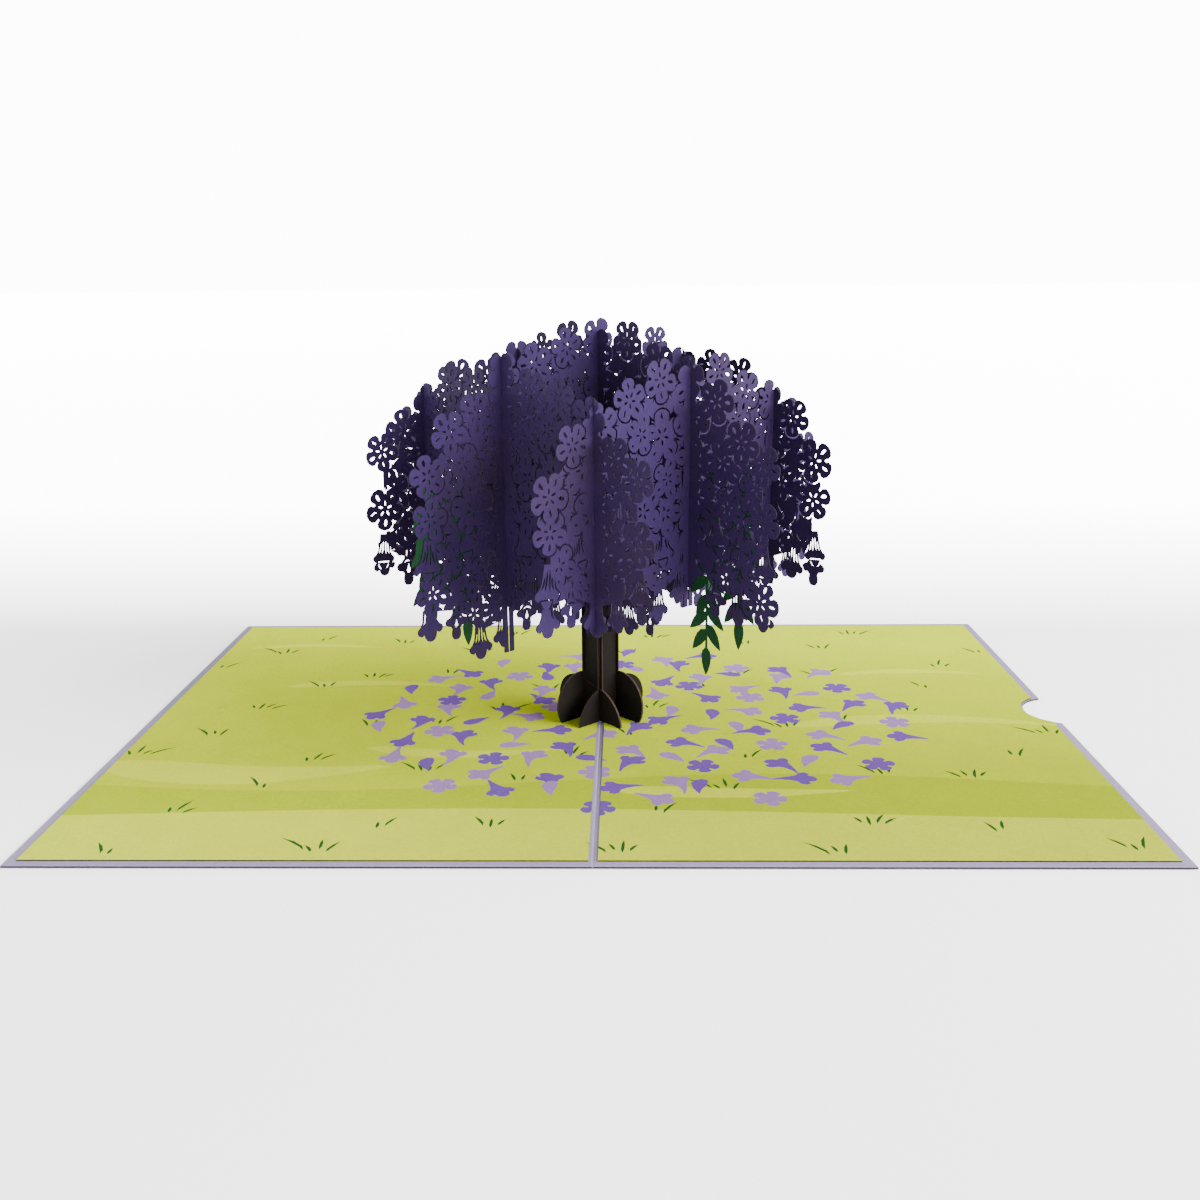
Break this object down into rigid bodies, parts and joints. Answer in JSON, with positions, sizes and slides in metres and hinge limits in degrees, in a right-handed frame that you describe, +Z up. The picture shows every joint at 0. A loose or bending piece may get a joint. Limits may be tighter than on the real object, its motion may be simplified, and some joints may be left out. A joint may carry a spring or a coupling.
{
  "type": "pop up card",
  "caption": "Opened folded greeting card whose printed pages carry a slotted, die-cut paper tree with a domed blossom crown, a square paper trunk and leaf sprays.",
  "frame": {"origin": "middle of the underside of the opened card, on the surface that it lies on", "axes": "+X along the length of the opened card to the reader's right, +Y along the fold away from the reader, +Z up out of the card"},
  "size_m": [0.254, 0.178, 0.1099],
  "materials": {
    "cover_cardstock": "matt",
    "printed_page": "matt print",
    "blossom_paper": "matt",
    "trunk_paper": "matt",
    "leaf_paper": "matt"
  },
  "bodies": {
    "root": {"cover_card": "cover_cardstock", "left_page": "printed_page", "right_page": "printed_page", "blossom_slice_a_near": "blossom_paper", "blossom_slice_a_middle": "blossom_paper", "blossom_slice_a_far": "blossom_paper", "blossom_slice_b_near": "blossom_paper", "blossom_slice_b_middle": "blossom_paper", "blossom_slice_b_far": "blossom_paper", "trunk_slice_a_near": "trunk_paper", "trunk_slice_a_far": "trunk_paper", "trunk_slice_b_near": "trunk_paper", "trunk_slice_b_far": "trunk_paper", "leaf_spray_front_left_inner": "leaf_paper", "leaf_spray_front_left_outer": "leaf_paper", "leaf_spray_front_right_inner": "leaf_paper", "leaf_spray_front_right_outer": "leaf_paper", "leaf_spray_back_left_inner": "leaf_paper", "leaf_spray_back_left_outer": "leaf_paper", "leaf_spray_back_right_inner": "leaf_paper", "leaf_spray_back_right_outer": "leaf_paper"}
  },
  "joints": []
}
